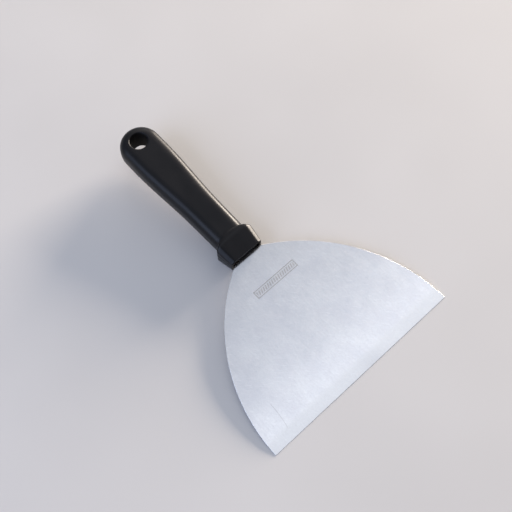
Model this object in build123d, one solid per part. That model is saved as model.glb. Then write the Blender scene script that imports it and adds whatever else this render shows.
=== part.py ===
from build123d import *
from math import atan2, degrees, isclose, sqrt
import os

# Flexible putty knife: a fan-shaped sheet-steel blade in a black moulded handle.
#
# Each piece is drawn in the knife's flat frame: the ground edge lies along X, Y runs up the knife
# towards the butt, and Z = 0 is the middle of the sheet. The finished pieces are then tilted so
# that the knife lies at rest on Z = 0, on its edge and on the underside of the collar.

# ---- driving dimensions, mm ----
EDGE_WIDTH = 152.0          # ground edge, corner to corner: a 6 in knife
BLADE_LENGTH = 110.3        # ground edge to the front of the collar
SIDE_RADIUS = 125.4         # arc of each side, centred on the line of the ground edge
SHEET = 0.8                 # thickness of the sheet
EDGE_THICKNESS = 0.3        # what the grinding leaves at the edge
GRIND_LENGTH = 9.0          # depth of the ground strip

HANDLE_LENGTH = 125.9       # front of the collar to the end of the butt
GRIP_THICKNESS = 18.8
NECK_WIDTH = 23.2           # grip just behind the collar
WAIST_WIDTH = 24.6          # grip where it starts to swell
SWELL_START = 42.9          # front of the collar to that place
SWELL_SETBACK = 12.0        # end of the swell to the middle of the hanging hole
BUTT_WIDTH = 30.2           # grip across the hanging hole
GRIP_ROUNDING = 5.8         # shoulders along the grip
COLLAR_LENGTH = 14.5        # front face to the collar's widest place
COLLAR_APEX = 18.2          # front face to the middle of the collar's round back
COLLAR_BACK_RADIUS = 26.0
COLLAR_BACK_ROUNDING = 0.6  # where the round back meets the collar's top and sides
COLLAR_EDGE_ROUNDING = 0.8  # along the bevels
COLLAR_FRONT_THICKNESS = 12.8
COLLAR_REAR_THICKNESS = 20.0
COLLAR_FRONT_WIDTH = 25.8
COLLAR_REAR_WIDTH = 29.6
COLLAR_FRONT_BEVEL = (2.3, 1.6)  # bevelled shoulders at the collar's front: across and down
COLLAR_REAR_BEVEL = (2.8, 2.0)  # and at its back
RIM_ROUNDING = 0.4          # front rim of the collar
HOLE_RADIUS = 6.5           # hanging hole
HOLE_SETBACK = 13.4         # its centre to the end of the butt
HOLE_ROUNDING = 0.8         # its two rims

TANG_WIDTH = 13.0
TANG_LENGTH = 62.0          # inside the handle
RIVET_RADIUS = 2.0
RIVET_CLEARANCE = 0.1       # radial, in the tang and in the half cores
RIVET_PLACES = (18.0, 48.0)  # along the tang
RIVET_HEAD_RADIUS = 3.2
RIVET_HEAD = 1.1            # height of a head
RIVET_HEAD_POCKET = 1.2     # depth of its pocket in a half core
PLUG_RECESS = 2.0           # the plug's face lies this far inside the collar's rim
PLUG_LENGTH = 7.0
COLLAR_WALL = 1.5           # wall of the collar around the plug
CORE_WIDTH = 15.2
CORE_THICKNESS = 9.6        # both halves together: they pass through the mouth of the collar
CORE_LENGTH = 88.0
CORE_FLOOR = 1.6            # web between the ribs
CORE_RIB = 1.6
CORE_BAYS = 6               # pockets along each half core
CORE_BOSS_RADIUS = 4.2

# ---- places along the knife ----
COLLAR_Y = BLADE_LENGTH
BUTT_Y = COLLAR_Y + HANDLE_LENGTH
HOLE_Y = BUTT_Y - HOLE_SETBACK
SWELL_START_Y = COLLAR_Y + SWELL_START
SWELL_END_Y = HOLE_Y - SWELL_SETBACK
PLUG_Y = COLLAR_Y + PLUG_RECESS
CORE_Y = PLUG_Y + PLUG_LENGTH


def slab(outline, thickness):
    """A plan outline extruded to both sides of Z = 0."""
    return extrude(make_face(outline), amount=thickness / 2, both=True)


def block(width, y_start, y_end, z_low, z_high):
    """A box centred on X = 0."""
    size = (width, y_end - y_start, z_high - z_low)
    middle = (0, (y_start + y_end) / 2, (z_low + z_high) / 2)
    return Pos(*middle) * Box(*size)


def upright(radius, y, z_low, z_high):
    """A cylinder along Z."""
    return Pos(0, y, (z_low + z_high) / 2) * Cylinder(radius, z_high - z_low)


def make_blade():
    """Fan-shaped sheet with two circular sides, a ground edge and a tang."""
    half_edge = EDGE_WIDTH / 2
    half_root = sqrt(SIDE_RADIUS**2 - BLADE_LENGTH**2) - (SIDE_RADIUS - half_edge)
    half_tang = TANG_WIDTH / 2
    tang_end = PLUG_Y + TANG_LENGTH
    outline = [
        Line((-half_edge, 0), (half_edge, 0)),
        RadiusArc((half_edge, 0), (half_root, COLLAR_Y), -SIDE_RADIUS),
        Polyline((half_root, COLLAR_Y), (half_tang, COLLAR_Y), (half_tang, tang_end),
                 (-half_tang, tang_end), (-half_tang, COLLAR_Y), (-half_root, COLLAR_Y)),
        RadiusArc((-half_root, COLLAR_Y), (-half_edge, 0), -SIDE_RADIUS),
    ]
    sheet = slab(outline, SHEET)
    side_view = Polyline((0, -EDGE_THICKNESS / 2), (GRIND_LENGTH, -SHEET / 2), (tang_end, -SHEET / 2),
                         (tang_end, SHEET / 2), (GRIND_LENGTH, SHEET / 2), (0, EDGE_THICKNESS / 2),
                         close=True)
    taper = extrude(Plane.YZ * make_face(side_view), amount=EDGE_WIDTH, both=True)
    blade = sheet & taper
    for place in RIVET_PLACES:
        blade -= upright(RIVET_RADIUS + RIVET_CLEARANCE, PLUG_Y + place, -SHEET, SHEET)
    return blade


def make_grip():
    """Solid grip from inside the collar to the round butt."""
    neck = NECK_WIDTH / 2
    waist = WAIST_WIDTH / 2
    butt = BUTT_WIDTH / 2
    start = COLLAR_Y + COLLAR_LENGTH / 2
    outline = []
    for side in (1, -1):
        outline.append(Line((side * neck, start), (side * waist, SWELL_START_Y)))
        outline.append(Spline((side * waist, SWELL_START_Y), (side * butt, SWELL_END_Y),
                              tangents=[(side * (waist - neck), SWELL_START_Y - start), (0, 1)]))
        outline.append(Line((side * butt, SWELL_END_Y), (side * butt, BUTT_Y - butt)))
    outline.append(ThreePointArc((butt, BUTT_Y - butt), (0, BUTT_Y), (-butt, BUTT_Y - butt)))
    outline.append(Line((-neck, start), (neck, start)))
    grip = slab(outline, GRIP_THICKNESS)
    shoulders = [
        edge for edge in grip.edges()
        if abs(edge.center().Z) > GRIP_THICKNESS / 4 and edge.center().Y > COLLAR_Y + COLLAR_LENGTH
    ]
    return fillet(shoulders, GRIP_ROUNDING)


def collar_section(y, width, thickness, bevel):
    """Rectangle with bevelled corners across the collar at y."""
    across, down = bevel
    right = [(width / 2 - across, thickness / 2), (width / 2, thickness / 2 - down)]
    right += [(x, -z) for x, z in reversed(right)]
    left = [(-x, -z) for x, z in right]
    plane = Plane(origin=(0, y, 0), x_dir=(1, 0, 0), z_dir=(0, 1, 0))
    return plane * make_face(Polyline(*right, *left, close=True))


def make_collar():
    """Solid collar: a wedge that opens away from the blade, with a back that is an arc in plan."""
    rear_y = COLLAR_Y + COLLAR_LENGTH
    apex_y = COLLAR_Y + COLLAR_APEX
    rear = (COLLAR_REAR_WIDTH, COLLAR_REAR_THICKNESS, COLLAR_REAR_BEVEL)
    front = (COLLAR_FRONT_WIDTH, COLLAR_FRONT_THICKNESS, COLLAR_FRONT_BEVEL)
    wedge = loft([collar_section(COLLAR_Y, *front), collar_section(rear_y, *rear)], ruled=True)
    body = wedge + extrude(collar_section(rear_y, *rear), amount=apex_y - rear_y)
    bevel_edges = [edge for edge in body.edges() if abs(edge.tangent_at(0.5).Y) > 0.8]
    body = fillet(bevel_edges, COLLAR_EDGE_ROUNDING)
    front_rim = body.faces().sort_by(Axis.Y)[0].edges()
    body = fillet(front_rim, RIM_ROUNDING)
    arc = upright(COLLAR_BACK_RADIUS, apex_y - COLLAR_BACK_RADIUS, -BUTT_WIDTH, BUTT_WIDTH)
    collar = body & arc
    round_back = collar.faces().filter_by(GeomType.CYLINDER).sort_by(SortBy.AREA)[-1]
    return fillet(round_back.edges(), COLLAR_BACK_ROUNDING)


def plug_section():
    """Width and thickness of the mouth that the plug fills."""
    return COLLAR_FRONT_WIDTH - 2 * COLLAR_WALL, COLLAR_FRONT_THICKNESS - 2 * COLLAR_WALL


def make_grip_shell():
    """Handle moulding: grip and collar, with the plug's mouth, the core's socket and the hole."""
    shell = make_grip() + make_collar()
    width, thickness = plug_section()
    shell -= block(width, COLLAR_Y, CORE_Y, -thickness / 2, thickness / 2)
    shell -= block(CORE_WIDTH, CORE_Y, CORE_Y + CORE_LENGTH, -CORE_THICKNESS / 2, CORE_THICKNESS / 2)
    shell -= upright(HOLE_RADIUS, HOLE_Y, -GRIP_THICKNESS, GRIP_THICKNESS)
    rims = [
        edge for edge in shell.edges().filter_by(GeomType.CIRCLE)
        if isclose(edge.radius, HOLE_RADIUS)
    ]
    return fillet(rims, HOLE_ROUNDING)


def make_collar_plug():
    """Insert that closes the collar's mouth, slotted for the tang."""
    width, thickness = plug_section()
    plug = block(width, PLUG_Y, CORE_Y, -thickness / 2, thickness / 2)
    return plug - block(TANG_WIDTH, PLUG_Y, CORE_Y, -SHEET / 2, SHEET / 2)


def make_tang_core(side):
    """Ribbed half core on one side of the tang; side is 1 for the top half and -1 for the bottom."""
    half = CORE_THICKNESS / 2
    end = CORE_Y + CORE_LENGTH
    core = block(CORE_WIDTH, CORE_Y, end, 0, half)
    floor = SHEET / 2 + CORE_FLOOR
    bay = (CORE_LENGTH - CORE_RIB) / CORE_BAYS
    for index in range(CORE_BAYS):
        bay_start = CORE_Y + CORE_RIB + index * bay
        core -= block(CORE_WIDTH - 2 * CORE_RIB, bay_start, bay_start + bay - CORE_RIB, floor, half)
    core -= block(TANG_WIDTH, CORE_Y, PLUG_Y + TANG_LENGTH, 0, SHEET / 2)
    for place in RIVET_PLACES:
        rivet_y = PLUG_Y + place
        core += upright(CORE_BOSS_RADIUS, rivet_y, SHEET / 2, half - RIVET_HEAD_POCKET)
        core -= upright(RIVET_HEAD_RADIUS + RIVET_CLEARANCE, rivet_y, half - RIVET_HEAD_POCKET, half)
        core -= upright(RIVET_RADIUS + RIVET_CLEARANCE, rivet_y, 0, half)
    return core if side > 0 else mirror(core, about=Plane.XY)


def make_tang_rivets():
    """Two rivets, each with a flat head at both ends."""
    seat = CORE_THICKNESS / 2 - RIVET_HEAD_POCKET
    rivets = []
    for place in RIVET_PLACES:
        rivet = upright(RIVET_RADIUS, PLUG_Y + place, -seat, seat)
        for side in (1, -1):
            ends = sorted((side * seat, side * (seat + RIVET_HEAD)))
            rivet += upright(RIVET_HEAD_RADIUS, PLUG_Y + place, *ends)
        rivets.append(rivet)
    return Compound(rivets)


def rest_tilt():
    """Angle at which the flat knife touches the ground with its edge and the start of the collar's flat."""
    drop = COLLAR_REAR_THICKNESS / 2 - EDGE_THICKNESS / 2
    return degrees(atan2(drop, COLLAR_Y + COLLAR_LENGTH))


def main():
    pieces = {
        "blade": make_blade(),
        "grip_shell": make_grip_shell(),
        "collar_plug": make_collar_plug(),
        "tang_core_top": make_tang_core(1),
        "tang_core_bottom": make_tang_core(-1),
        "tang_rivets": make_tang_rivets(),
    }
    tilted = {name: Rot(X=rest_tilt()) * piece for name, piece in pieces.items()}
    boxes = [piece.bounding_box() for piece in tilted.values()]
    front = min(box.min.Y for box in boxes)
    back = max(box.max.Y for box in boxes)
    bottom = min(box.min.Z for box in boxes)
    shift = Pos(0, -(front + back) / 2, -bottom)
    os.makedirs("parts", exist_ok=True)
    for name, piece in tilted.items():
        export_step(shift * piece, f"parts/{name}.step")
    print("tilt", round(rest_tilt(), 4), "shift", shift.position)


main()
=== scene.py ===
from math import atan2, cos, hypot, pi, radians, sin, sqrt

import bmesh
import bpy
from mathutils import Matrix, Quaternion, Vector


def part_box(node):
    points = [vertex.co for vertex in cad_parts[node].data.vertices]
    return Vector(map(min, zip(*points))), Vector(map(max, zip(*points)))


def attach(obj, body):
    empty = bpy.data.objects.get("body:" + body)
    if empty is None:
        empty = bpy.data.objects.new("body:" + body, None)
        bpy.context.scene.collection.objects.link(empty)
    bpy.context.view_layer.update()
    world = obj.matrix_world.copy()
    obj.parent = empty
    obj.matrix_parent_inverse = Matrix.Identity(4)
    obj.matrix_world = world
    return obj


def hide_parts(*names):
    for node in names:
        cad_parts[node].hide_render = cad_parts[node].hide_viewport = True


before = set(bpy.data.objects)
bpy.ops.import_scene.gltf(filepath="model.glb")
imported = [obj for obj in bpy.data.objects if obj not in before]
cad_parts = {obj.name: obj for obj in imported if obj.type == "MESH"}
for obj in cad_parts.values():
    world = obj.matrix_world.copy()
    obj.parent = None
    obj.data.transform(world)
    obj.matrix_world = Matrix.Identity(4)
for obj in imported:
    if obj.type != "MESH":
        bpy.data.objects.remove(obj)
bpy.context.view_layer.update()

# Flexible putty knife: a fan-shaped brushed blade in a black moulded handle.
#
# Every piece is drawn in the knife's flat frame, in millimetres: the ground edge lies along X,
# Y runs up the knife towards the butt, and Z = 0 is the middle of the sheet. KNIFE_TO_ROW then
# tilts it to its resting pose and scales it to metres.

# ---- the knife, mm ----
# the blade
EDGE_WIDTH = 152.0
BLADE_LENGTH = 110.3
SIDE_RADIUS = 125.4          # each side of the fan, centred on the line of the ground edge
SHEET = 0.8                  # its thickness
EDGE_THICKNESS = 0.3
GRIND_LENGTH = 9.0
GRIND_BLEND = 2.5            # half the length over which the ground face eases into the flat
DEBURR = 0.10                # broken edges of the sheet
TANG_WIDTH = 13.0
TANG_LENGTH = 62.0           # from the insert's front
RIVET_HOLE_RADIUS = 2.1
RIVET_PLACES = (18.0, 48.0)  # from the insert's front

# the handle
HANDLE_LENGTH = 125.9
GRIP_THICKNESS = 18.8
NECK_WIDTH = 23.2            # the grip's width halfway along the collar
WAIST_WIDTH = 24.6           # and where its swell starts
SWELL_START = 42.9           # from the collar's front
SWELL_SETBACK = 12.0         # from the end of the swell to the middle of the hole
BUTT_WIDTH = 30.2
GRIP_SHOULDER = (6.8, 7.4)   # how far the grip's shoulders reach: across and down
HOLE_RADIUS = 6.5
HOLE_SETBACK = 13.4          # from the middle of the hole to the butt
HOLE_ROUNDING = 0.8
COLLAR_LENGTH = 14.5         # from its front to its full thickness
COLLAR_APEX = 18.2           # its length on the knife's axis
COLLAR_BACK_RADIUS = 26.0    # its back is an arc in plan
COLLAR_FRONT_THICKNESS = 12.8
COLLAR_REAR_THICKNESS = 20.0
COLLAR_FRONT_WIDTH = 26.4
COLLAR_REAR_WIDTH = 30.2
COLLAR_FRONT_BEVEL = (2.7, 1.9)  # bevelled shoulders with rounded edges: across and down
COLLAR_REAR_BEVEL = (3.2, 2.3)
RIM_ROUNDING = 0.4
TOP_BACK_ROUNDING = 3.2      # convex edge of the collar's back, on the knife's axis
SIDE_BACK_ROUNDING = 0.9     # and at its sides
TOP_NOTCH_ROUNDING = 2.2     # concave edge where the back meets the grip, on the axis
SIDE_NOTCH_ROUNDING = 0.7    # and at its sides

# the hollow of the handle, and the insert in its mouth
COLLAR_WALL = 1.5
MOUTH_ROUNDING = 0.6
MOUTH_CHAMFER = 0.25
SOCKET_ROUNDING = 0.3
CORE_WIDTH = 15.2            # the socket's size is that of the core it holds
CORE_THICKNESS = 9.6
CORE_LENGTH = 88.0
PLUG_RECESS = 2.0            # behind the collar's front
PLUG_LENGTH = 7.0
PLUG_GAP = 0.12              # around the insert, in the mouth and at the blade
PLUG_ROUNDING = 0.35
PLUG_CORNER = 0.56

# ---- places along the knife, mm ----
COLLAR_Y = BLADE_LENGTH
BUTT_Y = COLLAR_Y + HANDLE_LENGTH
BUTT_CENTRE_Y = BUTT_Y - BUTT_WIDTH / 2
HOLE_Y = BUTT_Y - HOLE_SETBACK
SWELL_START_Y = COLLAR_Y + SWELL_START
SWELL_END_Y = HOLE_Y - SWELL_SETBACK
PLUG_Y = COLLAR_Y + PLUG_RECESS
CORE_Y = PLUG_Y + PLUG_LENGTH
TANG_END_Y = PLUG_Y + TANG_LENGTH

# ---- the resting pose ----
MM = 0.001
REST_TILT = atan2((COLLAR_REAR_THICKNESS - EDGE_THICKNESS) / 2, COLLAR_Y + COLLAR_LENGTH)


def knife_to_row():
    """The matrix from the flat frame to the row frame, placed by the blade's corner on the ground."""
    low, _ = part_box("blade")
    half_edge = EDGE_THICKNESS / 2 * MM
    place = Vector((0, low.y + half_edge * sin(REST_TILT), low.z + half_edge * cos(REST_TILT)))
    return Matrix.Translation(place) @ Matrix.Rotation(REST_TILT, 4, "X") @ Matrix.Scale(MM, 4)


KNIFE_TO_ROW = knife_to_row()

# ---- the camera, the sky and the floor ----
LENS = 59.8                  # mm, on the 36 mm sensor
CAMERA_AIM = (4.27, 105.8, 0)  # on the blade's plane, mm
CAMERA_DISTANCE = 0.5721     # m
CAMERA_AZIMUTH = radians(-35.14)
CAMERA_ELEVATION = radians(64.52)
CAMERA_ROLL = radians(-7.98)

ACROSS, ALONG = (1, 0, 0), (0, 1, 0)
SKY_COLOUR = (0.915, 0.985, 1.125)
SKY_NEAR, SKY_BRIGHT, SKY_FAR = 0.22, 0.80, 0.32  # strength towards the camera, overhead and beyond
SKY_RISE = (-0.20, -0.05)    # the sky brightens, then fades, over these values of its direction's y
SKY_FADE = (0.06, 0.40)
FLOOR_REACH = 4.0            # m, from the middle to each side
FLOOR_CELLS = 8


# ---- mesh helpers ----
def quarter_turn(steps):
    """Angles in even steps from 0 to a right angle."""
    return [pi / 2 * step / steps for step in range(steps + 1)]


def mix(a, b, share):
    """The value that lies that share of the way from a to b."""
    return a + (b - a) * share


def bridge(bm, first, second, closed=True):
    """Quads between two rows of vertices; a None in a row leaves its quads out."""
    count = len(first)
    for index in range(count if closed else count - 1):
        after = (index + 1) % count
        corners = (first[index], first[after], second[after], second[index])
        if None not in corners:
            bm.faces.new(corners)


def loft(bm, rows):
    """Quads between each closed row and the next."""
    for first, second in zip(rows, rows[1:]):
        bridge(bm, first, second)


def add_row(bm, points):
    """A vertex at each point."""
    return [bm.verts.new(point) for point in points]


def finish_mesh(bm, name, sharp_angle):
    """The mesh in the row frame, smooth shaded except across edges sharper than sharp_angle."""
    bmesh.ops.recalc_face_normals(bm, faces=bm.faces)
    mesh = bpy.data.meshes.new(name)
    bm.to_mesh(mesh)
    bm.free()
    mesh.transform(KNIFE_TO_ROW)
    mesh.shade_smooth()
    mesh.set_sharp_from_angle(angle=sharp_angle)
    return mesh


def add_piece(name, mesh, materials, node):
    """Adds a piece of the knife that stands for the CAD node."""
    piece = bpy.data.objects.new(name, mesh)
    bpy.context.scene.collection.objects.link(piece)
    for material in materials:
        mesh.materials.append(material)
    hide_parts(node)
    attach(piece, "root")


# ---- the blade ----
ROOT_COLUMNS = 3             # columns of the fan on each side of the tang
TANG_COLUMNS = 4
FAN_ROWS = 60
BLEND_QUARTERS = (-4, -3, -1, 1, 3, 4)  # extra rows of the fan, in quarters of the ground face's blend
RIM_TURN = radians(60)       # the sheet's rims are its edges that turn more than this
TOP_RISE = 0.9               # and its top is the faces whose normals rise more than this
PLAN_MAP = "plan"


def fan_half_width(y):
    """Half the blade's width at y."""
    return sqrt(SIDE_RADIUS**2 - y**2) - (SIDE_RADIUS - EDGE_WIDTH / 2)


def sheet_half_thickness(y):
    """Half the sheet's thickness at y: ground down towards the edge, easing into the flat."""
    start, end = GRIND_LENGTH - GRIND_BLEND, GRIND_LENGTH + GRIND_BLEND
    share = min(y / GRIND_LENGTH, 1)
    if start < y < end:
        share = 1 - (end - y)**2 / (4 * GRIND_BLEND * GRIND_LENGTH)
    return (EDGE_THICKNESS + (SHEET - EDGE_THICKNESS) * share) / 2


def column_shares():
    """Places of the fan's columns as shares of its half width; the tang's sides are two of them."""
    tang_share = TANG_WIDTH / 2 / fan_half_width(COLLAR_Y)
    outer = [tang_share + (1 - tang_share) * step / ROOT_COLUMNS for step in range(ROOT_COLUMNS + 1)]
    inner = [tang_share * (2 * step / TANG_COLUMNS - 1) for step in range(1, TANG_COLUMNS)]
    return [-share for share in reversed(outer)] + inner + outer


def rivet_cell(bm, row, y_start):
    """A square of tang with a round hole, from a row of its vertices; returns its last row."""
    step = TANG_WIDTH / TANG_COLUMNS
    rows = [row]
    for index in range(1, TANG_COLUMNS + 1):
        y = y_start + index * step
        inside = 0 < index < TANG_COLUMNS
        rows.append([
            None if inside and 0 < column < TANG_COLUMNS else bm.verts.new((vert.co.x, y, 0))
            for column, vert in enumerate(row)
        ])
    border = rows[0] + [r[-1] for r in rows[1:-1]] + rows[-1][::-1] + [r[0] for r in rows[-2:0:-1]]
    middle = y_start + TANG_WIDTH / 2
    hole = []
    for vert in border:
        away = Vector((vert.co.x, vert.co.y - middle)).normalized() * RIVET_HOLE_RADIUS
        hole.append(bm.verts.new((away.x, middle + away.y, 0)))
    bridge(bm, border, hole)
    return rows[-1]


def blade_plan(bm):
    """The blade's plan as one layer of quads: the fan, then the tang with its rivet holes."""
    shares = column_shares()
    ys = [COLLAR_Y * index / FAN_ROWS for index in range(FAN_ROWS + 1)]
    ys = sorted(ys + [GRIND_LENGTH + GRIND_BLEND * quarters / 4 for quarters in BLEND_QUARTERS])
    rows = [add_row(bm, [(share * fan_half_width(y), y, 0) for share in shares]) for y in ys]
    for first, second in zip(rows, rows[1:]):
        bridge(bm, first, second, closed=False)
    row = rows[-1][ROOT_COLUMNS:ROOT_COLUMNS + TANG_COLUMNS + 1]
    for place in RIVET_PLACES:
        y_start = PLUG_Y + place - TANG_WIDTH / 2
        start = add_row(bm, [(vert.co.x, y_start, 0) for vert in row])
        bridge(bm, row, start, closed=False)
        row = rivet_cell(bm, start, y_start)
    end = add_row(bm, [(vert.co.x, TANG_END_Y, 0) for vert in row])
    bridge(bm, row, end, closed=False)


def lay_plan_coordinates(bm):
    """A UV map that holds each corner's place in the flat frame, in mm: u across, v along."""
    layer = bm.loops.layers.uv.new(PLAN_MAP)
    for face in bm.faces:
        for loop in face.loops:
            loop[layer].uv = loop.vert.co.xy


def is_rim(edge):
    """Whether the edge of the plain sheet runs round its top or its underside."""
    first, second = edge.verts
    return edge.calc_face_angle(0) > RIM_TURN and first.co.z * second.co.z > 0


def blade_mesh():
    """The plan thickened to a sheet with a ground edge and broken rims; its top is material 1."""
    bm = bmesh.new()
    blade_plan(bm)
    thick = bmesh.ops.extrude_face_region(bm, geom=bm.faces[:])
    top = {item for item in thick["geom"] if isinstance(item, bmesh.types.BMVert)}
    for vert in bm.verts:
        vert.co.z = sheet_half_thickness(vert.co.y) * (1 if vert in top else -1)
    bmesh.ops.recalc_face_normals(bm, faces=bm.faces)
    rims = [edge for edge in bm.edges if is_rim(edge)]
    bmesh.ops.bevel(bm, geom=rims, offset=DEBURR, segments=2, profile=0.5, affect="EDGES")
    lay_plan_coordinates(bm)
    for face in bm.faces:
        face.material_index = 1 if face.normal.z > TOP_RISE else 0
    return finish_mesh(bm, "blade_sheet", sharp_angle=radians(12))


# ---- the handle ----
TOP_STEPS = 12               # quads across the flat of the top
ROUND_STEPS = 8              # around each shoulder
FLANK_STEPS = 6              # and down each flank
RING = 2 * (TOP_STEPS + FLANK_STEPS) + 4 * ROUND_STEPS
RIM_STEPS = 4                # around a small rounding
COLLAR_ROWS = 12
GRIP_BEND_ROWS = 10          # rows over which the arc of the collar's back straightens out
GRIP_BEND = 16.0             # mm behind the collar's apex
GRIP_ROWS = 34
CELL = 11.5                  # from the middle of the hole back to where its cell starts
CELL_ROWS = 6
CAP_STEPS = 28               # around the butt
HOLE_RINGS = 4               # from its cell's border to the hole's rim
ARC_PASSES = 4               # rounds that fit a row's y to the arc of the collar's back
GRIP_EXPONENT = 0.88         # 1 is a round shoulder; below 1 it is fuller and eases into the flats
COLLAR_EXPONENT = 1.7        # 2 is a straight bevel
DRAFT = 0.012                # each half of the moulding narrows away from the parting line
PARTING_RIDGE = 0.06         # how far the parting line stands out
PARTING_WIDTH = 0.5


def flank_heights(flat_z):
    """Where the FLANK_STEPS quads of a flank start, close together beside the parting line."""
    ridge = min(PARTING_WIDTH / 2, flat_z / 4)
    return (flat_z, flat_z / 2, ridge, 0, -ridge, -flat_z / 2)


def ring_points(half_width, half_thickness, shoulder, exponent=GRIP_EXPONENT):
    """(x, z) of a rectangle with round or bevelled shoulders, clockwise from the left of its top."""
    across, down = shoulder
    flat_x = half_width - across
    flat_z = half_thickness - down
    half = [(-flat_x + 2 * flat_x * step / TOP_STEPS, half_thickness) for step in range(TOP_STEPS)]
    for angle in quarter_turn(ROUND_STEPS)[:-1]:
        half.append((flat_x + across * sin(angle)**exponent, flat_z + down * cos(angle)**exponent))
    half += [(half_width, z) for z in flank_heights(flat_z)]
    for angle in quarter_turn(ROUND_STEPS)[:-1]:
        half.append((flat_x + across * cos(angle)**exponent, -flat_z - down * sin(angle)**exponent))
    return half + [(-x, -z) for x, z in half]


def collar_ring(y):
    """The collar's outline at y."""
    share = min((y - COLLAR_Y) / COLLAR_LENGTH, 1)
    bevel = [mix(front, rear, share) for front, rear in zip(COLLAR_FRONT_BEVEL, COLLAR_REAR_BEVEL)]
    return ring_points(mix(COLLAR_FRONT_WIDTH, COLLAR_REAR_WIDTH, share) / 2,
                       mix(COLLAR_FRONT_THICKNESS, COLLAR_REAR_THICKNESS, share) / 2,
                       bevel, COLLAR_EXPONENT)


def grip_half_width(y):
    """Half the grip's width: a slow taper, an S-shaped swell, then straight to the butt."""
    slope = (WAIST_WIDTH - NECK_WIDTH) / 2 / (SWELL_START_Y - COLLAR_Y - COLLAR_LENGTH / 2)
    if y < SWELL_START_Y:
        return WAIST_WIDTH / 2 - slope * (SWELL_START_Y - y)
    length = SWELL_END_Y - SWELL_START_Y
    share = min((y - SWELL_START_Y) / length, 1)
    ease = share * share * (3 - 2 * share)
    return mix(WAIST_WIDTH, BUTT_WIDTH, ease) / 2 + slope * length * share * (1 - share)**2


def grip_ring(y):
    """The grip's outline at y."""
    return ring_points(grip_half_width(y), GRIP_THICKNESS / 2, GRIP_SHOULDER)


def back_y(x):
    """The collar's round back: its y at x."""
    return COLLAR_Y + COLLAR_APEX - COLLAR_BACK_RADIUS + sqrt(COLLAR_BACK_RADIUS**2 - x**2)


def between_axis_and_side(on_axis, at_side, x):
    """A size that changes from the knife's axis to the collar's sides, with the square of x."""
    return mix(on_axis, at_side, min(abs(x) / (COLLAR_REAR_WIDTH / 2), 1)**2)


def back_rounding(x):
    """How far along the knife the collar's back rounds over at x."""
    return between_axis_and_side(TOP_BACK_ROUNDING, SIDE_BACK_ROUNDING, x)


def notch_rounding(x):
    """How far along the knife the collar's back runs out into the grip at x."""
    return between_axis_and_side(TOP_NOTCH_ROUNDING, SIDE_NOTCH_ROUNDING, x)


def inner_rows():
    """Rows of points from the end of the core's socket out to the front rim."""
    mouth = (COLLAR_FRONT_WIDTH / 2 - COLLAR_WALL, COLLAR_FRONT_THICKNESS / 2 - COLLAR_WALL)
    socket = ring_points(CORE_WIDTH / 2, CORE_THICKNESS / 2, (SOCKET_ROUNDING, SOCKET_ROUNDING))
    opening = ring_points(*mouth, (MOUTH_ROUNDING, MOUTH_ROUNDING))
    widened = ring_points(*[half + MOUTH_CHAMFER for half in mouth], (MOUTH_ROUNDING, MOUTH_ROUNDING))
    places = (
        (socket, CORE_Y + CORE_LENGTH),
        (socket, CORE_Y),
        (opening, CORE_Y),
        (opening, COLLAR_Y + MOUTH_CHAMFER),
        (widened, COLLAR_Y),
    )
    return [[(x, y, z) for x, z in ring] for ring, y in places]


def rim_rows():
    """The rounded front rim, from the front face to the collar's side."""
    rows = []
    outline = collar_ring(COLLAR_Y + RIM_ROUNDING)
    half_width = max(x for x, _ in outline)
    half_thickness = max(z for _, z in outline)
    for angle in quarter_turn(RIM_STEPS)[:-1]:
        inset = RIM_ROUNDING * (1 - sin(angle))
        bevel = [size - inset / 2 for size in COLLAR_FRONT_BEVEL]
        ring = ring_points(half_width - inset, half_thickness - inset, bevel, COLLAR_EXPONENT)
        rows.append([(x, COLLAR_Y + RIM_ROUNDING * (1 - cos(angle)), z) for x, z in ring])
    return rows


def collar_rows():
    """Rows that start straight at the rim and bend into the arc of the collar's back."""
    start = COLLAR_Y + RIM_ROUNDING
    rows = []
    for step in range(COLLAR_ROWS + 1):
        share = step / COLLAR_ROWS
        row = []
        for index in range(RING):
            y = start
            for _ in range(ARC_PASSES):
                x, z = collar_ring(y)[index]
                y = mix(start, back_y(x) - back_rounding(x), share)
            row.append((x, y, z))
        rows.append(row)
    return rows


def back_profile(x, height):
    """(depth, y) steps of the collar's back for a step of that height: round, straight, hollow."""
    convex = min(back_rounding(x), height / 2)
    hollow = min(notch_rounding(x), height / 2)
    steps = []
    for angle in quarter_turn(RIM_STEPS)[1:]:
        steps.append((convex * (1 - cos(angle)), -back_rounding(x) * (1 - sin(angle))))
    steps.append(((convex + height - hollow) / 2, 0))
    for angle in quarter_turn(RIM_STEPS):
        steps.append((height - hollow * (1 - sin(angle)), notch_rounding(x) * (1 - cos(angle))))
    return steps


def step_rows():
    """Rows down the collar's back, from its outline to the grip's."""
    points = []
    for index in range(RING):
        x_out, z_out = collar_ring(COLLAR_Y + COLLAR_LENGTH)[index]
        for _ in range(ARC_PASSES):
            x_out, z_out = collar_ring(back_y(x_out) - back_rounding(x_out))[index]
        x_in, z_in = grip_ring(back_y(x_out))[index]
        height = hypot(x_out - x_in, z_out - z_in)
        column = []
        for depth, dy in back_profile(x_out, height):
            x = mix(x_out, x_in, depth / height)
            z = mix(z_out, z_in, depth / height)
            column.append((x, back_y(x) + dy, z))
        points.append(column)
    return [list(row) for row in zip(*points)]


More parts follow.
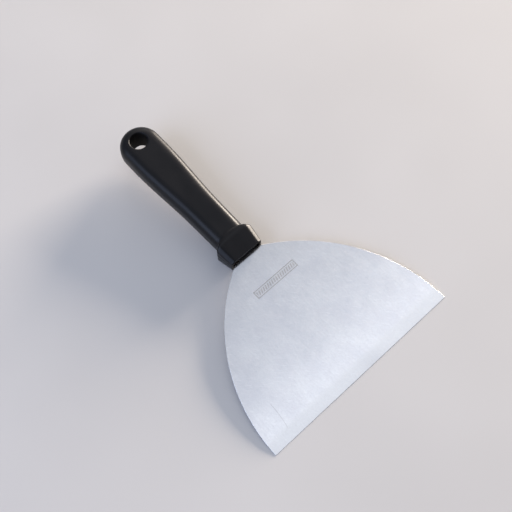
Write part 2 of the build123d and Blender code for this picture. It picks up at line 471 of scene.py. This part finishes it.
def grip_rows():
    """Rows from the collar's notch to the hole's cell."""
    bend_end = COLLAR_Y + COLLAR_APEX + GRIP_BEND
    rows = []
    for step in range(1, GRIP_BEND_ROWS + 1):
        row = []
        for index in range(RING):
            y = bend_end
            for _ in range(ARC_PASSES):
                x, z = grip_ring(y)[index]
                y = mix(back_y(x) + notch_rounding(x), bend_end, step / GRIP_BEND_ROWS)
            row.append((x, y, z))
        rows.append(row)
    cell_start = HOLE_Y - CELL
    for step in range(1, GRIP_ROWS + 1):
        y = mix(bend_end, cell_start, step / GRIP_ROWS)
        rows.append([(x, y, z) for x, z in grip_ring(y)])
    return rows


def cell_rows(bm):
    """Rows beside the hole, without the vertices that the hole's own rings replace."""
    rows = []
    for step in range(1, CELL_ROWS + 1):
        y = mix(HOLE_Y - CELL, BUTT_CENTRE_Y, step / CELL_ROWS)
        row = []
        for index, (x, z) in enumerate(grip_ring(y)):
            inside = 0 < index % (RING // 2) < TOP_STEPS
            row.append(None if inside else bm.verts.new((x, y, z)))
        rows.append(row)
    return rows


def add_cap(bm, last):
    """The round butt: the right half of the last row turned over to the left half."""
    right = last[TOP_STEPS:RING // 2 + 1]
    left = [last[-index % RING] for index in range(RING // 2 - TOP_STEPS + 1)]
    arcs = [right]
    for step in range(1, CAP_STEPS):
        angle = pi * step / CAP_STEPS
        arcs.append([
            bm.verts.new((vert.co.x * cos(angle), BUTT_CENTRE_Y + vert.co.x * sin(angle), vert.co.z))
            for vert in right
        ])
    arcs.append(left)
    for first, second in zip(arcs, arcs[1:]):
        bridge(bm, first, second, closed=False)
    return arcs[1:-1]


def hole_profile():
    """(radius, z) down the hole: upper rim, wall, lower rim."""
    half = GRIP_THICKNESS / 2
    upper = []
    for angle in quarter_turn(RIM_STEPS):
        radius = HOLE_RADIUS + HOLE_ROUNDING * (1 - sin(angle))
        upper.append((radius, half - HOLE_ROUNDING * (1 - cos(angle))))
    return upper + [(HOLE_RADIUS, 0)] + [(radius, -z) for radius, z in reversed(upper)]


def plateau_rings(bm, border, half):
    """Rings from the border of the flat round the hole towards the hole's rim."""
    rings = [border]
    rim = HOLE_RADIUS + HOLE_ROUNDING
    for step in range(1, HOLE_RINGS):
        share = step / HOLE_RINGS
        ring = []
        for vert in border:
            away = Vector((vert.co.x, vert.co.y - HOLE_Y))
            length = mix(away.length, rim, share)
            away.normalize()
            ring.append(bm.verts.new((away.x * length, HOLE_Y + away.y * length, half)))
        rings.append(ring)
    return rings


def add_hole(bm, first_row, rows, arcs):
    """The flats round the hanging hole, its soft rims and its wall."""
    half_ring = RING // 2
    top = (first_row[:TOP_STEPS + 1] + [row[TOP_STEPS] for row in rows] + [arc[0] for arc in arcs]
           + [row[0] for row in reversed(rows)])
    bottom = (first_row[half_ring:half_ring + TOP_STEPS + 1][::-1] + [row[half_ring] for row in rows]
              + [arc[-1] for arc in arcs] + [row[half_ring + TOP_STEPS] for row in reversed(rows)])
    top_rings = plateau_rings(bm, top, GRIP_THICKNESS / 2)
    bottom_rings = plateau_rings(bm, bottom, -GRIP_THICKNESS / 2)
    wall = []
    for radius, z in hole_profile():
        ring = []
        for vert in top:
            away = Vector((vert.co.x, vert.co.y - HOLE_Y)).normalized() * radius
            ring.append(bm.verts.new((away.x, HOLE_Y + away.y, z)))
        wall.append(ring)
    loft(bm, top_rings + wall + bottom_rings[::-1])


def apply_draft(bm, outside):
    """Narrows each half of the moulding away from the parting line, which stands out a little."""
    for vert in bm.verts:
        vert.co.x *= 1 - DRAFT * abs(vert.co.z) / (GRIP_THICKNESS / 2)
    for vert in outside:
        if vert.co.z == 0:
            outward = Vector((vert.co.x, max(vert.co.y - BUTT_CENTRE_Y, 0), 0)).normalized()
            vert.co += outward * PARTING_RIDGE


def handle_mesh():
    """The hollow moulding: socket, mouth, rim, collar, grip, butt and hanging hole."""
    bm = bmesh.new()
    inner = [add_row(bm, row) for row in inner_rows()]
    outer = [add_row(bm, row) for row in rim_rows() + collar_rows() + step_rows() + grip_rows()]
    rows = inner + outer
    loft(bm, rows)
    bm.faces.new(rows[0])
    cell = cell_rows(bm)
    loft(bm, rows[-1:] + cell)
    arcs = add_cap(bm, cell[-1])
    add_hole(bm, rows[-1], cell, arcs)
    for face in bm.faces:
        middle = face.calc_center_median()
        face.material_index = 1 if hypot(middle.x, middle.y - HOLE_Y) < HOLE_RADIUS else 0
    apply_draft(bm, [vert for row in outer + cell + arcs for vert in row if vert])
    return finish_mesh(bm, "moulded_handle", sharp_angle=radians(50))


# ---- the insert in the collar's mouth ----
def insert_rows(half_width, half_thickness, y_front, y_back):
    """Rows of a ring from its back over a rounded front edge to the front face."""
    rows = [[(x, y_back, z) for x, z in ring_points(half_width, half_thickness, (PLUG_CORNER, PLUG_CORNER))]]
    for angle in quarter_turn(RIM_STEPS):
        inset = PLUG_ROUNDING * (1 - cos(angle))
        corner = PLUG_CORNER - inset
        ring = ring_points(half_width - inset, half_thickness - inset, (corner, corner))
        rows.append([(x, y_front + PLUG_ROUNDING * (1 - sin(angle)), z) for x, z in ring])
    return rows


def insert_mesh():
    """The insert: an outer wall, a softly edged front and the slot that the tang passes through."""
    bm = bmesh.new()
    half_width = COLLAR_FRONT_WIDTH / 2 - COLLAR_WALL - PLUG_GAP
    half_thickness = COLLAR_FRONT_THICKNESS / 2 - COLLAR_WALL - PLUG_GAP
    slot = ring_points(TANG_WIDTH / 2 + PLUG_GAP, SHEET / 2 + PLUG_GAP, (PLUG_GAP, PLUG_GAP))
    points = insert_rows(half_width, half_thickness, PLUG_Y, CORE_Y)
    points.append([(x, PLUG_Y, z) for x, z in slot])
    points.append([(x, CORE_Y, z) for x, z in slot])
    rows = [add_row(bm, row) for row in points]
    loft(bm, rows + rows[:1])
    return finish_mesh(bm, "mouth_insert", sharp_angle=radians(40))


# ---- materials ----
PANEL_CENTRE = (2.7, 84.7)   # the etched panel, mm on the blade's plan
PANEL_SIZE = (35.6, 6.0)
PANEL_STROKE = 0.7           # the frame's line
PANEL_MARGIN = 1.45          # from the panel's outline to the slanted strokes
HATCH_PITCH = 1.9
HATCH_SHARE = 0.5            # how much of the pitch a stroke fills
HATCH_SLANT = 0.35
PANEL_TINT = 0.20            # how far the panel's field is darkened
ETCH_COLOUR = (0.22, 0.22, 0.22)
ETCH_STRENGTH = 0.66
ETCH_DULLING = 0.15          # roughness that full etching adds
GROUND_COLOUR = (0.68, 0.68, 0.68)  # the tone of the ground strip
GROUND_STRENGTH = 0.6
SCRATCH = ((-56.3, 25.5), (-59.0, 7.0))  # the ends of one long scratch on the plan, mm
SCRATCH_WIDTH = 0.6
SCRATCH_STRENGTH = 0.22
SCRATCH_WOBBLE = 2.2         # the range over which it strays from that line


def new_material(name):
    """A material with its node tree and its shader."""
    material = bpy.data.materials.new(name)
    material.use_nodes = True
    return material, material.node_tree, material.node_tree.nodes["Principled BSDF"]


def coordinates(tree, scale, turn):
    """Object coordinates in metres, turned about Z, times scale; a piece's origin is the row's."""
    place = tree.nodes.new("ShaderNodeTexCoord")
    mapping = tree.nodes.new("ShaderNodeMapping")
    mapping.vector_type = "TEXTURE"
    mapping.inputs["Rotation"].default_value = (0.0, 0.0, turn)
    mapping.inputs["Scale"].default_value = [1 / factor for factor in scale]
    tree.links.new(place.outputs["Object"], mapping.inputs["Vector"])
    return mapping.outputs["Vector"]


def noise(tree, scale, detail=2.0, roughness=0.5, distortion=0.0, turn=0.0):
    """Noise with features of about 1/scale metres along each axis, turned about Z."""
    texture = tree.nodes.new("ShaderNodeTexNoise")
    texture.inputs["Distortion"].default_value = distortion
    texture.inputs["Scale"].default_value = 1.0
    texture.inputs["Detail"].default_value = detail
    texture.inputs["Roughness"].default_value = roughness
    tree.links.new(coordinates(tree, scale, turn), texture.inputs["Vector"])
    return texture.outputs["Fac"]


def ramp(tree, value, low, high, start=0.3, end=0.7):
    """Maps value from start..end to low..high, easing at both ends."""
    node = tree.nodes.new("ShaderNodeMapRange")
    node.interpolation_type = "SMOOTHSTEP"
    for name, number in (("From Min", start), ("From Max", end), ("To Min", low), ("To Max", high)):
        node.inputs[name].default_value = number
    tree.links.new(value, node.inputs["Value"])
    return node.outputs["Result"]


def math_node(tree, operation, first, second=0.0):
    """The result of the operation on numbers or sockets; some operations take only the first."""
    node = tree.nodes.new("ShaderNodeMath")
    node.operation = operation
    for socket, value in zip(node.inputs, (first, second)):
        if isinstance(value, (int, float)):
            socket.default_value = value
        else:
            tree.links.new(value, socket)
    return node.outputs["Value"]


def mix_colour(tree, share, first, second):
    """The colour that lies that share of the way from first to second; each is a tuple or a socket."""
    node = tree.nodes.new("ShaderNodeMix")
    node.data_type = "RGBA"
    for name, kind, value in (("Factor", "VALUE", share), ("A", "RGBA", first), ("B", "RGBA", second)):
        socket = next(s for s in node.inputs if s.name == name and s.type == kind)
        if isinstance(value, tuple):
            socket.default_value = (*value, 1.0)
        else:
            tree.links.new(value, socket)
    return next(s for s in node.outputs if s.type == "RGBA")


def mottled(tree, value, dark, light):
    """A colour that wanders between dark and light with value."""
    return mix_colour(tree, ramp(tree, value, 0.0, 1.0), dark, light)


def tinted(tree, colour, value, strength, tint, start=0.3, end=0.7):
    """The colour with more of the tint, up to that strength, as value goes from start to end."""
    return mix_colour(tree, ramp(tree, value, 0.0, strength, start, end), colour, tint)


def add_bump(tree, shader, height, distance, strength=1.0):
    """Adds a bump of height times distance, in mm, to those the shader already has."""
    node = tree.nodes.new("ShaderNodeBump")
    node.inputs["Distance"].default_value = distance * MM
    node.inputs["Strength"].default_value = strength
    tree.links.new(height, node.inputs["Height"])
    for link in shader.inputs["Normal"].links:
        tree.links.new(link.from_socket, node.inputs["Normal"])
    tree.links.new(node.outputs["Normal"], shader.inputs["Normal"])


def grained_material(name, scale, detail, dark, light, gloss, bump, strength):
    """A material and its shader: one grain drives colour, roughness over the range gloss, and bump."""
    material, tree, shader = new_material(name)
    grain = noise(tree, scale, detail)
    tree.links.new(mottled(tree, grain, dark, light), shader.inputs["Base Color"])
    tree.links.new(ramp(tree, grain, *gloss), shader.inputs["Roughness"])
    add_bump(tree, shader, grain, bump, strength)
    return material, shader


def handle_plastic():
    """Black moulded plastic: fine grain, uneven gloss and a trace of dust."""
    material, tree, shader = new_material("black_plastic")
    grain = noise(tree, (2500, 2500, 2500), detail=3)
    patches = noise(tree, (60, 25, 60), detail=3)
    dust = noise(tree, (900, 500, 900), detail=4, roughness=0.7)
    colour = mottled(tree, patches, dark=(0.0022, 0.0022, 0.0036), light=(0.0042, 0.0040, 0.0056))
    colour = tinted(tree, colour, dust, 0.25, (0.06, 0.06, 0.065), 0.66, 0.8)
    tree.links.new(colour, shader.inputs["Base Color"])
    tree.links.new(ramp(tree, patches, 0.34, 0.42), shader.inputs["Roughness"])
    shader.inputs["Specular IOR Level"].default_value = 0.29
    add_bump(tree, shader, grain, distance=0.02, strength=0.6)
    return material


def hole_plastic():
    """The same plastic in the hanging hole, dull as it came off the mould's pin."""
    material, shader = grained_material(
        "hole_plastic", scale=(1500, 1500, 500), detail=3, dark=(0.0020, 0.0020, 0.0025),
        light=(0.0040, 0.0040, 0.0045), gloss=(0.60, 0.72), bump=0.03, strength=0.6)
    shader.inputs["Specular IOR Level"].default_value = 0.12
    return material


def insert_plastic():
    """The insert's smoother moulding."""
    material, _ = grained_material(
        "insert_plastic", scale=(1500, 1500, 1500), detail=2, dark=(0.012, 0.012, 0.015),
        light=(0.018, 0.018, 0.022), gloss=(0.32, 0.42), bump=0.01, strength=0.5)
    return material


def core_plastic():
    """Unpolished grey moulding, hidden in the handle."""
    material, _ = grained_material(
        "core_plastic", scale=(700, 700, 700), detail=3, dark=(0.05, 0.05, 0.055),
        light=(0.09, 0.09, 0.095), gloss=(0.5, 0.65), bump=0.03, strength=0.5)
    return material


def rivet_metal():
    """Plain aluminium with the marks of the rivet set."""
    material, shader = grained_material(
        "rivet_metal", scale=(1200, 1200, 1200), detail=3, dark=(0.7, 0.7, 0.71),
        light=(0.82, 0.82, 0.82), gloss=(0.3, 0.45), bump=0.02, strength=0.5)
    shader.inputs["Metallic"].default_value = 1.0
    return material


def within(tree, value, centre, half_width):
    """1 where value is within half_width of centre."""
    offset = math_node(tree, "SUBTRACT", value, centre)
    return math_node(tree, "LESS_THAN", math_node(tree, "ABSOLUTE", offset), half_width)


def plan_place(tree):
    """The place on the blade's plan, in mm, as (across, along)."""
    plan = tree.nodes.new("ShaderNodeUVMap")
    plan.uv_map = PLAN_MAP
    split = tree.nodes.new("ShaderNodeSeparateXYZ")
    tree.links.new(plan.outputs["UV"], split.inputs["Vector"])
    return split.outputs["X"], split.outputs["Y"]


def panel_mask(tree):
    """Strength of the etching: a plain frame round a tinted field with a row of slanted strokes."""
    across, along = plan_place(tree)
    (centre_x, centre_y), (width, height) = PANEL_CENTRE, PANEL_SIZE

    def rectangle(inset):
        """1 in the panel's outline, made smaller by the inset."""
        return math_node(tree, "MULTIPLY", within(tree, across, centre_x, width / 2 - inset),
                         within(tree, along, centre_y, height / 2 - inset))

    field = rectangle(PANEL_STROKE)
    outline = math_node(tree, "SUBTRACT", rectangle(0), field)
    slanted = math_node(tree, "ADD", across, math_node(tree, "MULTIPLY", along, -HATCH_SLANT))
    phase = math_node(tree, "FRACT", math_node(tree, "DIVIDE", slanted, HATCH_PITCH))
    strokes = math_node(tree, "LESS_THAN", phase, HATCH_SHARE)
    hatch = math_node(tree, "MULTIPLY", strokes, rectangle(PANEL_MARGIN))
    tint = math_node(tree, "MULTIPLY", field, PANEL_TINT)
    return math_node(tree, "MAXIMUM", math_node(tree, "MAXIMUM", outline, hatch), tint)


def scratch_mask(tree):
    """1 on the long scratch: near the line through its ends, from which it strays, between them."""
    across, along = plan_place(tree)
    (start_x, start_y), (end_x, end_y) = SCRATCH
    length = hypot(end_x - start_x, end_y - start_y)
    unit_x, unit_y = (end_x - start_x) / length, (end_y - start_y) / length

    def projected(part_x, part_y):
        """How far the place lies from the scratch's start in the direction of those parts."""
        offset = start_x * part_x + start_y * part_y
        total = math_node(tree, "ADD", math_node(tree, "MULTIPLY", across, part_x),
                          math_node(tree, "MULTIPLY", along, part_y))
        return math_node(tree, "SUBTRACT", total, offset)

    wander = math_node(tree, "SUBTRACT", noise(tree, (70, 70, 70)), 0.5)
    stray = math_node(tree, "MULTIPLY", wander, SCRATCH_WOBBLE)
    beside = within(tree, math_node(tree, "ADD", projected(-unit_y, unit_x), stray), 0.0, SCRATCH_WIDTH / 2)
    between = within(tree, projected(unit_x, unit_y), length / 2, length / 2)
    return math_node(tree, "MULTIPLY", beside, between)


def blade_steel(etched):
    """Worn stainless sheet brushed along the knife; the top has an etched panel and a scratch."""
    material, tree, shader = new_material("etched_steel" if etched else "brushed_steel")
    brushing = noise(tree, (5000, 90, 5000), detail=4, roughness=0.65)
    streaks = noise(tree, (900, 14, 900), detail=3)
    hairlines = noise(tree, (1500, 70, 1500), detail=2)
    blotches = noise(tree, (60, 45, 60), detail=4, roughness=0.6)
    swirls = noise(tree, (190, 190, 190), detail=6, roughness=0.7, distortion=1.6)
    scuffs = noise(tree, (2600, 110, 2600), detail=3, turn=radians(38))
    buckling = noise(tree, (24, 20, 24), detail=1)
    colour = mottled(tree, blotches, dark=(0.70, 0.70, 0.72), light=(0.79, 0.79, 0.79))
    colour = tinted(tree, colour, streaks, 0.35, (0.69, 0.69, 0.70))
    colour = tinted(tree, colour, swirls, 0.32, (0.62, 0.62, 0.65), 0.40, 0.62)
    colour = tinted(tree, colour, hairlines, 0.24, (0.60, 0.61, 0.63), 0.50, 0.66)
    colour = tinted(tree, colour, scuffs, 0.45, (0.90, 0.90, 0.90), 0.58, 0.72)
    _, along = plan_place(tree)
    ground = ramp(tree, along, 1.0, 0.0, GRIND_LENGTH - GRIND_BLEND, GRIND_LENGTH + GRIND_BLEND)
    colour = mix_colour(tree, math_node(tree, "MULTIPLY", ground, GROUND_STRENGTH), colour, GROUND_COLOUR)
    rough = math_node(tree, "ADD", ramp(tree, brushing, 0.17, 0.23), ramp(tree, swirls, 0.0, 0.05))
    if etched:
        panel = math_node(tree, "MULTIPLY", panel_mask(tree), ETCH_STRENGTH)
        scratch = math_node(tree, "MULTIPLY", scratch_mask(tree), SCRATCH_STRENGTH)
        marks = math_node(tree, "MAXIMUM", panel, scratch)
        colour = mix_colour(tree, marks, colour, ETCH_COLOUR)
        rough = math_node(tree, "ADD", rough, math_node(tree, "MULTIPLY", marks, ETCH_DULLING))
    tree.links.new(colour, shader.inputs["Base Color"])
    tree.links.new(rough, shader.inputs["Roughness"])
    shader.inputs["Metallic"].default_value = 1.0
    shader.inputs["Anisotropic"].default_value = 0.8
    tangent = tree.nodes.new("ShaderNodeTangent")
    tangent.direction_type = "UV_MAP"
    tangent.uv_map = PLAN_MAP
    tree.links.new(tangent.outputs["Tangent"], shader.inputs["Tangent"])
    add_bump(tree, shader, buckling, distance=0.4)
    add_bump(tree, shader, brushing, distance=0.004, strength=0.6)
    return material


def floor_material():
    """A pale matt floor with faint large blotches."""
    material, tree, shader = new_material("pale_floor")
    blotches = noise(tree, (6, 6, 6), detail=2)
    colour = mottled(tree, blotches, dark=(0.62, 0.60, 0.58), light=(0.65, 0.63, 0.61))
    tree.links.new(colour, shader.inputs["Base Color"])
    shader.inputs["Roughness"].default_value = 0.85
    shader.inputs["Specular IOR Level"].default_value = 0.08
    return material


# ---- the set ----
def add_floor():
    """A square floor on which the knife lies."""
    bm = bmesh.new()
    bmesh.ops.create_grid(bm, x_segments=FLOOR_CELLS, y_segments=FLOOR_CELLS, size=FLOOR_REACH)
    mesh = bpy.data.meshes.new("floor")
    bm.to_mesh(mesh)
    bm.free()
    mesh.materials.append(floor_material())
    floor = bpy.data.objects.new("floor", mesh)
    bpy.context.scene.collection.objects.link(floor)


def add_area(name, direction, side, distance, size, radiance, colour):
    """A rectangular soft light, in metres, that faces the row's middle; its first side runs along side."""
    data = bpy.data.lights.new(name, "AREA")
    data.shape = "RECTANGLE"
    data.size, data.size_y = size
    data.energy = pi * radiance * size[0] * size[1]
    data.color = colour
    lamp = bpy.data.objects.new(name, data)
    bpy.context.scene.collection.objects.link(lamp)
    back = Vector(direction).normalized()
    up = back.cross(Vector(side)).normalized()
    turn = Matrix((up.cross(back), up, back)).transposed().to_4x4()
    lamp.matrix_world = Matrix.Translation(back * distance) @ turn


def add_lights():
    """A strip overhead, a warm key behind, a fill in front and a window on each side."""
    add_area("overhead", direction=(0.25, -0.07, 0.97), side=ACROSS, distance=1.25, size=(1.6, 0.19),
             radiance=0.34, colour=(0.98, 0.99, 1.02))
    add_area("key", direction=(0.52, 0.66, 0.54), side=ALONG, distance=1.4, size=(0.5, 0.7),
             radiance=2.0, colour=(1.0, 0.93, 0.86))
    add_area("front", direction=(0.25, -0.90, 0.36), side=ACROSS, distance=1.4, size=(1.4, 0.4),
             radiance=1.0, colour=(1.0, 0.98, 0.96))
    add_area("right_window", direction=(0.98, 0.14, 0.16), side=ALONG, distance=2.9, size=(1.56, 0.84),
             radiance=62.0, colour=(1.0, 0.88, 0.76))
    add_area("left_window", direction=(-0.80, 0.08, 0.57), side=ALONG, distance=1.3, size=(1.2, 1.0),
             radiance=1.7, colour=(0.72, 0.86, 1.25))


def add_world():
    """A soft sky, brightest in a band overhead and dimmer towards the camera and the far side."""
    world = bpy.data.worlds.new("studio")
    world.use_nodes = True
    tree = world.node_tree
    direction = tree.nodes.new("ShaderNodeTexCoord")
    split = tree.nodes.new("ShaderNodeSeparateXYZ")
    tree.links.new(direction.outputs["Generated"], split.inputs["Vector"])
    along = split.outputs["Y"]
    rise = ramp(tree, along, SKY_NEAR, SKY_BRIGHT, *SKY_RISE)
    fade = ramp(tree, along, 1.0, SKY_FAR / SKY_BRIGHT, *SKY_FADE)
    background = tree.nodes["Background"]
    background.inputs["Color"].default_value = (*SKY_COLOUR, 1.0)
    tree.links.new(math_node(tree, "MULTIPLY", rise, fade), background.inputs["Strength"])
    bpy.context.scene.world = world


def add_camera():
    """The camera, given by the point it looks at, its distance, azimuth, elevation and roll."""
    data = bpy.data.cameras.new("camera")
    data.lens = LENS
    camera = bpy.data.objects.new("camera", data)
    bpy.context.scene.collection.objects.link(camera)
    level = cos(CAMERA_ELEVATION)
    forward = Vector((-sin(CAMERA_AZIMUTH) * level, cos(CAMERA_AZIMUTH) * level, -sin(CAMERA_ELEVATION)))
    turn = forward.to_track_quat("-Z", "Y") @ Quaternion((0, 0, 1), CAMERA_ROLL)
    camera.location = KNIFE_TO_ROW @ Vector(CAMERA_AIM) - forward * CAMERA_DISTANCE
    camera.rotation_euler = turn.to_euler()
    bpy.context.scene.camera = camera


def add_knife():
    """The visible pieces, and materials for the hidden ones, which keep their CAD shape."""
    blade_steels = (blade_steel(etched=False), blade_steel(etched=True))
    add_piece("brushed_blade", blade_mesh(), blade_steels, "blade")
    handle_plastics = (handle_plastic(), hole_plastic())
    add_piece("moulded_handle", handle_mesh(), handle_plastics, "grip_shell")
    add_piece("mouth_insert", insert_mesh(), (insert_plastic(),), "collar_plug")
    core = core_plastic()
    hidden = {"tang_core_top": core, "tang_core_bottom": core, "tang_rivets": rivet_metal()}
    for node, material in hidden.items():
        for material_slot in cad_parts[node].material_slots:
            material_slot.material = material


add_knife()
add_floor()
add_world()
add_lights()
add_camera()
bpy.context.scene.view_settings.view_transform = "Standard"
